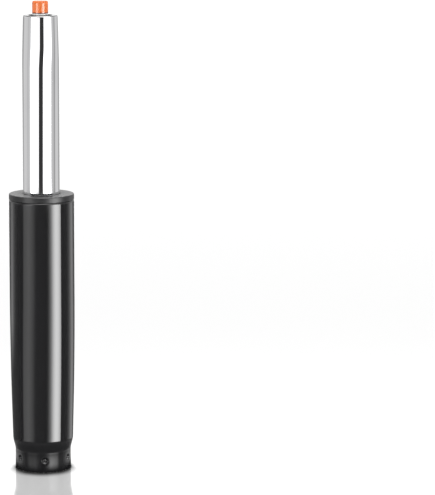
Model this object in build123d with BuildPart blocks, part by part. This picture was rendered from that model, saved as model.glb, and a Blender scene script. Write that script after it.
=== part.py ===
from build123d import *

import os
from math import cos, radians, sin, tan

# Chair gas lift cylinder, standing on its foot and fully extended.
# Lengths are in millimetres and angles in degrees.
# The cylinder's axis is Z, its foot rim is at zero height and its front looks along minus Y.

# Fits that several pieces share
slip_clearance = 0.05  # radial gap of a piece that slides or turns on another
seat_clearance = 0.1  # gap of a piece that is put in its place and stays there
seal_clearance = 0.03  # gap beside a rubber ring in its groove
overrun = 1.0  # how far a cutting shape reaches past the face that it opens
taper_angle = 1.438  # half angle of both cones, 1 in 19.92 on diameter

# Column: the outer tube, whose cone wedges into the chair base
column_diameter = 50.0
column_wall = 2.0
column_length = 211.4
column_edge = 1.5  # rounding of the top rim
column_cone_drop = 3.4  # how much thinner the tube is at the foot of the cone
column_cone_length = 26.0
shoulder_height = 10.6
neck_drop = 3.6  # how much thinner the neck is than the foot of the cone
neck_length = 14.6
foot_edge = 0.4

# Crimps: punched dimples that hold the bottom plate in the neck
crimp_count = 6
crimp_start_angle = -87.0
crimp_height = 9.8
crimp_depth = 1.6
crimp_mouth_diameter = 5.2
crimp_tip_diameter = 1.8

# Guide sleeve: moulded plastic, its flange is the dark collar on the column
flange_thickness = 4.3
flange_edge = 0.7
sleeve_length = 80.0
sleeve_outer_wall = 1.7
sleeve_inner_wall = 2.2
sleeve_rib_count = 8
sleeve_rib_thickness = 1.8
sleeve_lead_in = 0.9

# Bottom plate and thrust bearing
plate_thickness = 8.0
race_diameter = 26.0
race_thickness = 2.0
race_groove_depth = 0.4
lower_race_bore = 10.0
ball_count = 10
ball_diameter = 4.0
ball_pitch_diameter = 18.5
ball_clearance = 0.05
cage_diameter = 25.0
cage_bore = 12.0
cage_thickness = 2.0
pocket_clearance = 0.15

# Piston rod and what is stacked on its lower end
rod_diameter = 10.0
spindle_diameter = 8.0
spindle_tail = 1.8
spindle_edge = 0.8
support_washer_diameter = 24.0
support_washer_thickness = 2.0
buffer_diameter = 22.0
buffer_height = 10.9
buffer_edge = 1.2
buffer_waist_depth = 1.4
buffer_clearance = 0.2
axial_play = 0.1
bottom_washer_diameter = 18.0
bottom_washer_thickness = 1.2
clip_diameter = 15.0
clip_thickness = 1.2
clip_groove_depth = 0.75
clip_opening_angle = 84.0
clip_hole_count = 2
clip_hole_diameter = 1.6
clip_hole_wall = 1.6  # metal left inside each hole
clip_hole_angle = 120.0

# Travel
stroke = 100.0
buffer_gap = 0.3  # left over the buffer when the cylinder is fully lowered
piston_gap = 0.3  # left under the piston when the cylinder is fully raised

# Lift tube: the chromed tube that carries the seat
lift_diameter = 28.0
lift_wall = 1.5
lift_length = 218.1
lift_cone_drop = 1.6
lift_cone_length = 24.0
lift_top_edge = 0.9
top_lip_thickness = 1.5
top_lip_bore = 18.0
bottom_lip_thickness = 2.0
bottom_lip_bore = 20.0
bottom_lip_edge = 1.2

# Packing at the lower end of the lift tube
end_washer_thickness = 2.0
end_washer_bore = 11.0
rod_seal_thickness = 6.0
rod_seal_lip_height = 2.2
rod_seal_lip_width = 1.6
rod_guide_thickness = 6.0
rod_guide_spigot = 12.7
gas_slot_count = 4
gas_slot_width = 3.0
gas_slot_depth = 1.6
guide_land = 0.9  # metal left below the rod guide's groove
guide_groove_width = 2.2
guide_groove_depth = 1.5

# Inner cylinder and piston
cylinder_diameter = 22.0
cylinder_wall = 1.0
piston_thickness = 10.0
piston_washer_thickness = 1.5
piston_washer_diameter = 15.0
piston_stem_diameter = 6.0
piston_land = 1.6  # metal left outside each of the piston's grooves
piston_groove_width = 2.4
piston_groove_depth = 1.7
piston_ring_width = 2.5
piston_ring_thickness = 1.2
piston_ring_split = 0.8
rivet_head_diameter = 9.0
rivet_head_height = 2.5
rivet_head_edge = 0.8

# Valve at the top of the lift tube
button_well_diameter = 12.8
button_well_depth = 6.5
top_washer_thickness = 2.0
pin_guide_thickness = 8.0
pin_guide_relief = 0.4
seal_gland_height = 3.0
spacer_height = 6.0
valve_seat_thickness = 3.0
valve_bore_diameter = 10.0
valve_spigot = 7.5
valve_channel_height = 3.0
valve_groove_width = 2.4
valve_groove_depth = 1.5
spigot_groove_width = 1.7
spigot_groove_depth = 1.3
cross_hole_count = 4
cross_hole_diameter = 2.0
dust_ring_rise = 0.15  # how far the rubber ring in the tube's lip stands out of it

# Valve pin and release button
pin_diameter = 4.0
pin_neck_diameter = 2.8
pin_neck_length = 4.0
pin_head_diameter = 7.0
pin_head_thickness = 3.0
pin_port_clearance = 0.3  # radial gap round the pin that gas passes through
button_diameter = 12.2
button_exposed = 10.9
button_skirt = 4.0
button_sleeve_exposed = 1.4  # white sleeve that shows below the orange cap
button_cap_thickness = 5.0
button_edge = 1.4

# Radii of the column
column_radius = column_diameter / 2
column_bore_radius = column_radius - column_wall
cone_foot_radius = column_radius - column_cone_drop / 2
neck_radius = cone_foot_radius - neck_drop / 2
neck_bore_radius = neck_radius - column_wall

# Heights on the column, from the foot up
taper = radians(taper_angle)
cone_foot_height = neck_length + shoulder_height
cone_top_height = cone_foot_height + column_cone_length
cone_top_radius = cone_foot_radius + column_cone_length * tan(taper)
cone_blend_height = (column_radius - cone_top_radius) / tan(taper / 2)
straight_start_height = cone_top_height + cone_blend_height
collar_height = column_length + flange_thickness

# Heights in the bearing, from the bottom plate up
plate_bottom = crimp_height - plate_thickness / 2
plate_top = plate_bottom + plate_thickness
lower_race_top = plate_top + race_thickness
ball_height = lower_race_top - race_groove_depth + ball_clearance + ball_diameter / 2
upper_race_bottom = ball_height + ball_diameter / 2 + ball_clearance - race_groove_depth
upper_race_top = upper_race_bottom + race_thickness
support_washer_top = upper_race_top + support_washer_thickness
buffer_top = support_washer_top + buffer_height

# Heights of what hangs under the bottom plate
bottom_washer_top = plate_bottom - axial_play
clip_top = bottom_washer_top - bottom_washer_thickness
clip_bottom = clip_top - clip_thickness
spindle_bottom = clip_bottom - spindle_tail

# Heights in the lower end of the lift tube
lift_bottom = buffer_top + buffer_gap + stroke
end_washer_bottom = lift_bottom + bottom_lip_thickness
rod_seal_bottom = end_washer_bottom + end_washer_thickness
rod_guide_bottom = rod_seal_bottom + rod_seal_thickness
cylinder_bottom = rod_guide_bottom + rod_guide_thickness
rod_guide_top = cylinder_bottom + rod_guide_spigot

# Heights of the piston stack
lower_washer_bottom = rod_guide_top + piston_gap
piston_bottom = lower_washer_bottom + piston_washer_thickness
piston_top = piston_bottom + piston_thickness
upper_washer_top = piston_top + piston_washer_thickness
rod_top = upper_washer_top + rivet_head_height

# Heights in the upper end of the lift tube, from the top down
lift_top = lift_bottom + lift_length
valve_top = lift_top - top_lip_thickness
well_floor = valve_top - button_well_depth
pin_guide_top = well_floor - top_washer_thickness
pin_guide_bottom = pin_guide_top - pin_guide_thickness
spacer_top = pin_guide_bottom - seal_gland_height
spacer_bottom = spacer_top - spacer_height
valve_seat_top = spacer_bottom - seal_gland_height
valve_bottom = valve_seat_top - valve_seat_thickness
cylinder_top = valve_bottom + valve_spigot
valve_cone_bottom = cylinder_top + valve_channel_height
button_top = lift_top + button_exposed
button_bottom = lift_top - button_skirt
button_sleeve_top = lift_top + button_sleeve_exposed

# Radii in the lift tube
lift_radius = lift_diameter / 2
lift_bore_radius = lift_radius - lift_wall
lift_cone_start = lift_top - lift_cone_length
lift_top_radius = lift_radius - lift_cone_drop / 2
lift_cone_start_radius = lift_top_radius + lift_cone_length * tan(taper)
lift_blend_height = (lift_radius - lift_cone_start_radius) / tan(taper / 2)
packing_radius = lift_bore_radius - seat_clearance
cylinder_radius = cylinder_diameter / 2
cylinder_bore_radius = cylinder_radius - cylinder_wall
spigot_radius = cylinder_bore_radius - seat_clearance
rod_bore_radius = rod_diameter / 2 + slip_clearance
pin_port_radius = pin_diameter / 2 + pin_port_clearance
stack_radius = valve_bore_diameter / 2 - seat_clearance

os.makedirs("parts", exist_ok=True)


def finish(piece, name):
    """Label a finished piece and write it under its node's name."""
    piece.part.label = name
    export_step(piece.part, f"parts/{name}.step")


def ring(outer_radius, bore_radius):
    """Draw a washer's outline in the open sketch."""
    Circle(outer_radius)
    Circle(bore_radius, mode=Mode.SUBTRACT)


def column_side(inset):
    """Draw the column's side, moved inwards by a wall, from the foot to the top."""
    cone_slope = (sin(taper), cos(taper))
    neck = Line((neck_radius - inset, 0), (neck_radius - inset, neck_length))
    cone_foot = (cone_foot_radius - inset, cone_foot_height)
    shoulder = Spline(neck @ 1, cone_foot, tangents=((0, 1), cone_slope))
    cone = Line(shoulder @ 1, (cone_top_radius - inset, cone_top_height))
    blend_end = (column_radius - inset, straight_start_height)
    blend = TangentArc(cone @ 1, blend_end, tangent=cone_slope)
    straight = Line(blend @ 1, (column_radius - inset, column_length))
    return neck @ 0, straight @ 1


def lift_tube_side(inset):
    """Draw the lift tube's side, moved inwards by a wall, from its bottom to its top."""
    blend_start = lift_cone_start - lift_blend_height
    straight = Line((lift_radius - inset, lift_bottom), (lift_radius - inset, blend_start))
    cone_start = (lift_cone_start_radius - inset, lift_cone_start)
    blend = TangentArc(straight @ 1, cone_start, tangent=(0, 1))
    cone = Line(blend @ 1, (lift_top_radius - inset, lift_top))
    return straight @ 0, cone @ 1


def cone_bore_radius(height):
    """Bore radius of the lift tube at a height within its cone."""
    return lift_top_radius - lift_wall + (lift_top - height) * tan(taper)


def seal_ring(height, inner_radius, outer_radius):
    """Place a round rubber ring between two radii."""
    section_radius = (outer_radius - inner_radius) / 2 - seal_clearance
    with Locations((0, 0, height)):
        Torus((inner_radius + outer_radius) / 2, section_radius)


def cross_holes(height, radius):
    """Cut holes that lead outwards from the axis."""
    with Locations((0, 0, height)):
        with PolarLocations(0, cross_hole_count):
            Cylinder(
                cross_hole_diameter / 2,
                radius + overrun,
                rotation=(0, 90, 0),
                align=(Align.CENTER, Align.CENTER, Align.MIN),
                mode=Mode.SUBTRACT,
            )


# Column tube, swaged to a neck and crimped round the bottom plate
with BuildPart() as column_tube:
    with BuildSketch(Plane.XZ):
        with BuildLine():
            outside_foot, outside_top = column_side(0)
            inside_foot, inside_top = column_side(column_wall)
            Line(outside_foot, inside_foot)
            Line(outside_top, inside_top)
        make_face()
    revolve(axis=Axis.Z)
    top_edge = column_tube.edges().group_by(Axis.Z)[-1].sort_by(SortBy.LENGTH)[-1]
    foot_edges = column_tube.edges().group_by(Axis.Z)[0]
    fillet(top_edge, column_edge)
    chamfer(foot_edges, foot_edge)
    crimp_flare = (crimp_mouth_diameter - crimp_tip_diameter) / 2 / crimp_depth
    boss_root = column_wall / 2
    with Locations((0, 0, crimp_height)):
        with PolarLocations(neck_bore_radius + boss_root, crimp_count, crimp_start_angle):
            Cone(
                crimp_tip_diameter / 2,
                crimp_mouth_diameter / 2,
                crimp_depth + boss_root,
                rotation=(0, 90, 0),
                align=(Align.CENTER, Align.CENTER, Align.MAX),
            )
        with PolarLocations(neck_radius + overrun, crimp_count, crimp_start_angle):
            Cone(
                crimp_tip_diameter / 2,
                crimp_mouth_diameter / 2 + overrun * crimp_flare,
                crimp_depth + overrun,
                rotation=(0, 90, 0),
                align=(Align.CENTER, Align.CENTER, Align.MAX),
                mode=Mode.SUBTRACT,
            )
finish(column_tube, "column_tube")

# Guide sleeve with two walls and ribs, open below
sleeve_radius = column_bore_radius - seat_clearance
sleeve_bore_radius = lift_radius + slip_clearance
sleeve_hub_radius = sleeve_bore_radius + sleeve_inner_wall
sleeve_cavity_radius = sleeve_radius - sleeve_outer_wall
with BuildPart() as guide_sleeve:
    with BuildSketch(Plane.XY.offset(column_length)):
        ring(column_radius, sleeve_bore_radius)
    extrude(amount=flange_thickness)
    flange_rim = guide_sleeve.edges().group_by(Axis.Z)[-1].sort_by(SortBy.LENGTH)[-1]
    fillet(flange_rim, flange_edge)
    with BuildSketch(Plane.XY.offset(column_length - sleeve_length)):
        ring(sleeve_radius, sleeve_cavity_radius)
        ring(sleeve_hub_radius, sleeve_bore_radius)
        rib_centre_radius = (sleeve_radius + sleeve_bore_radius) / 2
        rib_width = rib_centre_radius - sleeve_bore_radius
        with PolarLocations(rib_centre_radius, sleeve_rib_count):
            Rectangle(2 * rib_width - sleeve_inner_wall, sleeve_rib_thickness)
    extrude(amount=sleeve_length)
    with BuildSketch(Plane.XZ):
        with BuildLine():
            Polyline(
                (sleeve_bore_radius - overrun, collar_height + overrun),
                (sleeve_bore_radius + sleeve_lead_in + overrun, collar_height + overrun),
                (sleeve_bore_radius - overrun, collar_height - sleeve_lead_in - overrun),
                close=True,
            )
        make_face()
    revolve(axis=Axis.Z, mode=Mode.SUBTRACT)
finish(guide_sleeve, "guide_sleeve")

# Bottom plate with the groove that the crimps reach into
plate_radius = neck_bore_radius - seat_clearance
plate_bore_radius = spindle_diameter / 2 + pocket_clearance
crimp_reach_radius = neck_bore_radius - crimp_depth
groove_half_mouth = crimp_mouth_diameter / 2 + seat_clearance
groove_half_floor = crimp_tip_diameter / 2 + seat_clearance
with BuildPart() as bottom_plate:
    with BuildSketch(Plane.XY.offset(plate_bottom)):
        ring(plate_radius, plate_bore_radius)
    extrude(amount=plate_thickness)
    with BuildSketch(Plane.XZ):
        with BuildLine():
            Polyline(
                (neck_bore_radius, crimp_height - groove_half_mouth),
                (neck_bore_radius, crimp_height + groove_half_mouth),
                (crimp_reach_radius - seat_clearance, crimp_height + groove_half_floor),
                (crimp_reach_radius - seat_clearance, crimp_height - groove_half_floor),
                close=True,
            )
        make_face()
    revolve(axis=Axis.Z, mode=Mode.SUBTRACT)
finish(bottom_plate, "bottom_plate")

# Thrust bearing: two grooved races with a cage of balls between them
groove_radius = ball_diameter / 2 + ball_clearance
with BuildPart() as lower_race:
    with BuildSketch(Plane.XY.offset(plate_top)):
        ring(race_diameter / 2, lower_race_bore / 2)
    extrude(amount=race_thickness)
    with Locations((0, 0, ball_height)):
        Torus(ball_pitch_diameter / 2, groove_radius, mode=Mode.SUBTRACT)
finish(lower_race, "lower_race")

with BuildPart() as upper_race:
    with BuildSketch(Plane.XY.offset(upper_race_bottom)):
        ring(race_diameter / 2, spindle_diameter / 2 + seat_clearance)
    extrude(amount=race_thickness)
    with Locations((0, 0, ball_height)):
        Torus(ball_pitch_diameter / 2, groove_radius, mode=Mode.SUBTRACT)
finish(upper_race, "upper_race")

with BuildPart() as bearing_cage:
    with BuildSketch(Plane.XY.offset(ball_height - cage_thickness / 2)):
        ring(cage_diameter / 2, cage_bore / 2)
        with PolarLocations(ball_pitch_diameter / 2, ball_count):
            Circle(ball_diameter / 2 + pocket_clearance, mode=Mode.SUBTRACT)
    extrude(amount=cage_thickness)
finish(bearing_cage, "bearing_cage")

with BuildPart() as bearing_balls:
    with Locations((0, 0, ball_height)):
        with PolarLocations(ball_pitch_diameter / 2, ball_count):
            Sphere(ball_diameter / 2)
finish(bearing_balls, "bearing_balls")

# Piston rod: spindle below, rod, and a riveted stem that carries the piston
rod_radius = rod_diameter / 2
spindle_radius = spindle_diameter / 2
stem_radius = piston_stem_diameter / 2
rivet_radius = rivet_head_diameter / 2
clip_groove_radius = spindle_radius - clip_groove_depth
with BuildPart() as piston_rod:
    with BuildSketch(Plane.XZ):
        with BuildLine():
            Polyline(
                (0, spindle_bottom),
                (spindle_radius - spindle_edge, spindle_bottom),
                (spindle_radius, spindle_bottom + spindle_edge),
                (spindle_radius, clip_bottom - seat_clearance),
                (clip_groove_radius, clip_bottom - seat_clearance),
                (clip_groove_radius, clip_top + seat_clearance),
                (spindle_radius, clip_top + seat_clearance),
                (spindle_radius, support_washer_top),
                (rod_radius, support_washer_top),
                (rod_radius, lower_washer_bottom),
                (stem_radius, lower_washer_bottom),
                (stem_radius, upper_washer_top),
                (rivet_radius, upper_washer_top),
                (rivet_radius, rod_top - rivet_head_edge),
                (rivet_radius - rivet_head_edge, rod_top),
                (0, rod_top),
                close=True,
            )
        make_face()
    revolve(axis=Axis.Z)
finish(piston_rod, "piston_rod")

with BuildPart() as support_washer:
    with BuildSketch(Plane.XY.offset(upper_race_top)):
        ring(support_washer_diameter / 2, spindle_radius + seat_clearance)
    extrude(amount=support_washer_thickness)
finish(support_washer, "support_washer")

# Rubber buffer with a waist, so that it can give when the tube comes down on it
buffer_radius = buffer_diameter / 2
with BuildPart() as rubber_buffer:
    with BuildSketch(Plane.XZ):
        with BuildLine():
            buffer_bore_radius = rod_radius + buffer_clearance
            bottom = Line((buffer_bore_radius, support_washer_top), (buffer_radius, support_washer_top))
            lower_rim = Line(bottom @ 1, (buffer_radius, support_washer_top + buffer_edge))
            waist_middle = (
                buffer_radius - buffer_waist_depth,
                support_washer_top + buffer_height / 2,
            )
            waist = ThreePointArc(lower_rim @ 1, waist_middle, (buffer_radius, buffer_top - buffer_edge))
            upper_rim = Line(waist @ 1, (buffer_radius, buffer_top))
            Polyline(upper_rim @ 1, (buffer_bore_radius, buffer_top), bottom @ 0)
        make_face()
    revolve(axis=Axis.Z)
finish(rubber_buffer, "rubber_buffer")

with BuildPart() as bottom_washer:
    with BuildSketch(Plane.XY.offset(clip_top)):
        ring(bottom_washer_diameter / 2, spindle_radius + seat_clearance)
    extrude(amount=bottom_washer_thickness)
finish(bottom_washer, "bottom_washer")

# Retaining clip: an open spring clip pushed into the spindle's groove
with BuildPart() as retaining_clip:
    with BuildSketch(Plane.XY.offset(clip_bottom)):
        ring(clip_diameter / 2, clip_groove_radius + seat_clearance)
        mouth_width = 2 * (clip_groove_radius + seat_clearance) * sin(radians(clip_opening_angle / 2))
        with Locations((clip_diameter / 2, 0)):
            Rectangle(clip_diameter, mouth_width, mode=Mode.SUBTRACT)
        hole_radius = clip_groove_radius + clip_hole_wall + clip_hole_diameter / 2
        with PolarLocations(hole_radius, clip_hole_count, clip_hole_angle, 2 * clip_hole_angle):
            Circle(clip_hole_diameter / 2, mode=Mode.SUBTRACT)
    extrude(amount=clip_thickness)
finish(retaining_clip, "retaining_clip")

# Piston: two washers, the piston body, its seal and its guide ring
piston_radius = cylinder_bore_radius - seat_clearance
piston_bore_radius = stem_radius + slip_clearance
washer_radius = piston_washer_diameter / 2
seal_groove_top = piston_top - piston_land
seal_groove_bottom = seal_groove_top - piston_groove_width
ring_groove_bottom = piston_bottom + piston_land
ring_groove_top = ring_groove_bottom + piston_ring_width
ring_groove_radius = piston_radius - piston_ring_thickness
with BuildPart() as piston_lower_washer:
    with BuildSketch(Plane.XY.offset(lower_washer_bottom)):
        ring(washer_radius, piston_bore_radius)
    extrude(amount=piston_washer_thickness)
finish(piston_lower_washer, "piston_lower_washer")

with BuildPart() as piston_upper_washer:
    with BuildSketch(Plane.XY.offset(piston_top)):
        ring(washer_radius, piston_bore_radius)
    extrude(amount=piston_washer_thickness)
finish(piston_upper_washer, "piston_upper_washer")

with BuildPart() as piston:
    with BuildSketch(Plane.XZ):
        with BuildLine():
            Polyline(
                (piston_bore_radius, piston_bottom),
                (piston_radius, piston_bottom),
                (piston_radius, ring_groove_bottom),
                (ring_groove_radius, ring_groove_bottom),
                (ring_groove_radius, ring_groove_top),
                (piston_radius, ring_groove_top),
                (piston_radius, seal_groove_bottom),
                (piston_radius - piston_groove_depth, seal_groove_bottom),
                (piston_radius - piston_groove_depth, seal_groove_top),
                (piston_radius, seal_groove_top),
                (piston_radius, piston_top),
                (piston_bore_radius, piston_top),
                close=True,
            )
        make_face()
    revolve(axis=Axis.Z)
finish(piston, "piston")

with BuildPart() as piston_seal:
    seal_ring(
        (seal_groove_top + seal_groove_bottom) / 2,
        piston_radius - piston_groove_depth,
        cylinder_bore_radius,
    )
finish(piston_seal, "piston_seal")

with BuildPart() as piston_ring:
    with BuildSketch(Plane.XY.offset(ring_groove_bottom + seal_clearance)):
        ring(cylinder_bore_radius - seal_clearance, ring_groove_radius + seal_clearance)
        with Locations((piston_radius, 0)):
            Rectangle(2 * piston_ring_thickness + overrun, piston_ring_split, mode=Mode.SUBTRACT)
    extrude(amount=piston_ring_width - 2 * seal_clearance)
finish(piston_ring, "piston_ring")

# Lift tube: cone and rolled lip above, rolled lip below
with BuildPart() as lift_tube:
    with BuildSketch(Plane.XZ):
        with BuildLine():
            lift_outside_bottom, lift_outside_top = lift_tube_side(0)
            lift_inside_bottom, lift_inside_top = lift_tube_side(lift_wall)
            Line(lift_outside_bottom, lift_inside_bottom)
            Line(lift_outside_top, lift_inside_top)
        make_face()
    revolve(axis=Axis.Z)
    with BuildSketch(Plane.XY.offset(lift_bottom)):
        ring(lift_radius - lift_wall / 2, bottom_lip_bore / 2)
    extrude(amount=bottom_lip_thickness)
    with BuildSketch(Plane.XY.offset(lift_top)):
        ring(lift_top_radius - lift_wall / 2, top_lip_bore / 2)
    extrude(amount=-top_lip_thickness)
    lift_rims = lift_tube.edges().filter_by(GeomType.CIRCLE).group_by(Axis.Z)
    fillet(lift_rims[-1].sort_by(SortBy.LENGTH)[-1], lift_top_edge)
    fillet(lift_rims[0].sort_by(SortBy.LENGTH)[-1], bottom_lip_edge)
finish(lift_tube, "lift_tube")

with BuildPart() as end_washer:
    with BuildSketch(Plane.XY.offset(end_washer_bottom)):
        ring(packing_radius, end_washer_bore / 2)
    extrude(amount=end_washer_thickness)
finish(end_washer, "end_washer")

# Rod seal: rubber with a lip that stands off round the rod at its pressure side
with BuildPart() as rod_seal:
    with BuildSketch(Plane.XZ):
        with BuildLine():
            lip_root = rod_guide_bottom - rod_seal_lip_height
            Polyline(
                (rod_bore_radius, rod_seal_bottom),
                (packing_radius, rod_seal_bottom),
                (packing_radius, rod_guide_bottom),
                (rod_bore_radius + 2 * rod_seal_lip_width, rod_guide_bottom),
                (rod_bore_radius + rod_seal_lip_width, lip_root),
                (rod_bore_radius + rod_seal_lip_width / 2, rod_guide_bottom - seat_clearance),
                (rod_bore_radius, rod_guide_bottom - seat_clearance),
                close=True,
            )
        make_face()
    revolve(axis=Axis.Z)
finish(rod_seal, "rod_seal")

# Rod guide: its spigot centres the inner cylinder and its slots let gas round the end
guide_groove_middle = rod_guide_bottom + guide_land + guide_groove_width / 2
with BuildPart() as rod_guide:
    with BuildSketch(Plane.XZ):
        with BuildLine():
            Polyline(
                (rod_bore_radius, rod_guide_bottom),
                (packing_radius, rod_guide_bottom),
                (packing_radius, guide_groove_middle - guide_groove_width / 2),
                (packing_radius - guide_groove_depth, guide_groove_middle - guide_groove_width / 2),
                (packing_radius - guide_groove_depth, guide_groove_middle + guide_groove_width / 2),
                (packing_radius, guide_groove_middle + guide_groove_width / 2),
                (packing_radius, cylinder_bottom),
                (spigot_radius, cylinder_bottom),
                (spigot_radius, rod_guide_top),
                (rod_bore_radius, rod_guide_top),
                close=True,
            )
        make_face()
    revolve(axis=Axis.Z)
    with BuildSketch(Plane.XY.offset(cylinder_bottom - gas_slot_depth)):
        with PolarLocations(spigot_radius - gas_slot_depth, gas_slot_count):
            Rectangle(lift_radius, gas_slot_width, align=(Align.MIN, Align.CENTER))
    extrude(amount=rod_guide_spigot + gas_slot_depth + overrun, mode=Mode.SUBTRACT)
finish(rod_guide, "rod_guide")

with BuildPart() as rod_guide_seal:
    seal_ring(guide_groove_middle, packing_radius - guide_groove_depth, lift_bore_radius)
finish(rod_guide_seal, "rod_guide_seal")

with BuildPart() as inner_cylinder:
    with BuildSketch(Plane.XY.offset(cylinder_bottom)):
        ring(cylinder_radius, cylinder_bore_radius)
    extrude(amount=cylinder_top - cylinder_bottom)
finish(inner_cylinder, "inner_cylinder")

# Valve body: spigot in the inner cylinder, gas channel, then a cone that fills the tube's cone
valve_groove_middle = (valve_cone_bottom + valve_top) / 2
valve_groove_low = valve_groove_middle - valve_groove_width / 2
valve_groove_high = valve_groove_middle + valve_groove_width / 2
valve_groove_radius = cone_bore_radius(valve_groove_middle) - seat_clearance - valve_groove_depth
spigot_groove_low = (valve_bottom + cylinder_top - spigot_groove_width) / 2
spigot_groove_high = spigot_groove_low + spigot_groove_width
spigot_groove_radius = spigot_radius - spigot_groove_depth
well_radius = button_well_diameter / 2
valve_bore_radius = valve_bore_diameter / 2
with BuildPart() as valve_body:
    with BuildSketch(Plane.XZ):
        with BuildLine():
            Polyline(
                (pin_port_radius, valve_bottom),
                (spigot_radius, valve_bottom),
                (spigot_radius, spigot_groove_low),
                (spigot_groove_radius, spigot_groove_low),
                (spigot_groove_radius, spigot_groove_high),
                (spigot_radius, spigot_groove_high),
                (spigot_radius, cylinder_top),
                (cylinder_radius, cylinder_top),
                (cylinder_radius, valve_cone_bottom),
                (cone_bore_radius(valve_cone_bottom) - seat_clearance, valve_cone_bottom),
                (cone_bore_radius(valve_groove_low) - seat_clearance, valve_groove_low),
                (valve_groove_radius, valve_groove_low),
                (valve_groove_radius, valve_groove_high),
                (cone_bore_radius(valve_groove_high) - seat_clearance, valve_groove_high),
                (cone_bore_radius(valve_top) - seat_clearance, valve_top),
                (well_radius, valve_top),
                (well_radius, well_floor),
                (valve_bore_radius, well_floor),
                (valve_bore_radius, valve_seat_top),
                (pin_port_radius, valve_seat_top),
                close=True,
            )
        make_face()
    revolve(axis=Axis.Z)
    cross_holes((cylinder_top + valve_cone_bottom) / 2, cylinder_radius)
finish(valve_body, "valve_body")

with BuildPart() as valve_body_seal:
    seal_ring(valve_groove_middle, valve_groove_radius, cone_bore_radius(valve_groove_middle))
finish(valve_body_seal, "valve_body_seal")

with BuildPart() as inner_cylinder_seal:
    seal_ring((spigot_groove_low + spigot_groove_high) / 2, spigot_groove_radius, cylinder_bore_radius)
finish(inner_cylinder_seal, "inner_cylinder_seal")

# Stack in the valve's bore: seal, spacer, seal, pin guide and the washer that closes it
with BuildPart() as lower_pin_seal:
    seal_ring((valve_seat_top + spacer_bottom) / 2, pin_diameter / 2, valve_bore_radius)
finish(lower_pin_seal, "lower_pin_seal")

with BuildPart() as upper_pin_seal:
    seal_ring((spacer_top + pin_guide_bottom) / 2, pin_diameter / 2, valve_bore_radius)
finish(upper_pin_seal, "upper_pin_seal")

with BuildPart() as pin_spacer:
    with BuildSketch(Plane.XY.offset(spacer_bottom)):
        ring(stack_radius, pin_port_radius)
    extrude(amount=spacer_height)
    cross_holes((cylinder_top + valve_cone_bottom) / 2, stack_radius)
finish(pin_spacer, "pin_spacer")

with BuildPart() as pin_guide:
    with BuildSketch(Plane.XY.offset(pin_guide_bottom)):
        ring(stack_radius, pin_diameter / 2 + slip_clearance)
    extrude(amount=pin_guide_thickness)
    guide_rims = pin_guide.edges().group_by(Axis.Z)[-1].sort_by(SortBy.LENGTH)
    chamfer(guide_rims[-1], pin_guide_relief)
finish(pin_guide, "pin_guide")

with BuildPart() as top_washer:
    with BuildSketch(Plane.XY.offset(pin_guide_top)):
        ring(stack_radius, pin_port_radius)
    extrude(amount=top_washer_thickness)
finish(top_washer, "top_washer")

# Rubber ring that keeps dust out between the tube's lip and the button
with BuildPart() as dust_ring:
    with BuildSketch(Plane.XY.offset(valve_top)):
        ring(top_lip_bore / 2 - seat_clearance, well_radius)
    extrude(amount=top_lip_thickness + dust_ring_rise)
finish(dust_ring, "dust_ring")

# Valve pin: head under the seat, and a neck that opens the lower seal when it is pressed
pin_radius = pin_diameter / 2
neck_middle = (spacer_bottom + spacer_top) / 2
pin_head_top = valve_bottom - seat_clearance
pin_top = button_top - button_cap_thickness
with BuildPart() as valve_pin:
    with BuildSketch(Plane.XZ):
        with BuildLine():
            Polyline(
                (0, pin_head_top - pin_head_thickness),
                (pin_head_diameter / 2, pin_head_top - pin_head_thickness),
                (pin_head_diameter / 2, pin_head_top),
                (pin_radius, pin_head_top),
                (pin_radius, neck_middle - pin_neck_length / 2),
                (pin_neck_diameter / 2, neck_middle - pin_neck_length / 2),
                (pin_neck_diameter / 2, neck_middle + pin_neck_length / 2),
                (pin_radius, neck_middle + pin_neck_length / 2),
                (pin_radius, pin_top),
                (0, pin_top),
                close=True,
            )
        make_face()
    revolve(axis=Axis.Z)
finish(valve_pin, "valve_pin")

# Button sleeve: a white plastic sleeve on the valve pin, which the cap sits on
with BuildPart() as button_sleeve:
    with BuildSketch(Plane.XY.offset(button_bottom)):
        ring(button_diameter / 2, pin_radius + slip_clearance)
    extrude(amount=button_sleeve_top - button_bottom)
finish(button_sleeve, "button_sleeve")

# Release button: a plastic cap on the valve pin
with BuildPart() as release_button:
    with BuildSketch(Plane.XY.offset(button_sleeve_top)):
        Circle(button_diameter / 2)
    extrude(amount=button_top - button_sleeve_top)
    fillet(release_button.edges().group_by(Axis.Z)[-1], button_edge)
    with BuildSketch(Plane.XY.offset(button_sleeve_top)):
        Circle(pin_radius + slip_clearance)
    extrude(amount=pin_top - button_sleeve_top, mode=Mode.SUBTRACT)
finish(release_button, "release_button")
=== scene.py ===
from math import acos, ceil, cos, exp, hypot, pi, radians, sin, tan

import bpy
from mathutils import Matrix, Vector


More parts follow.
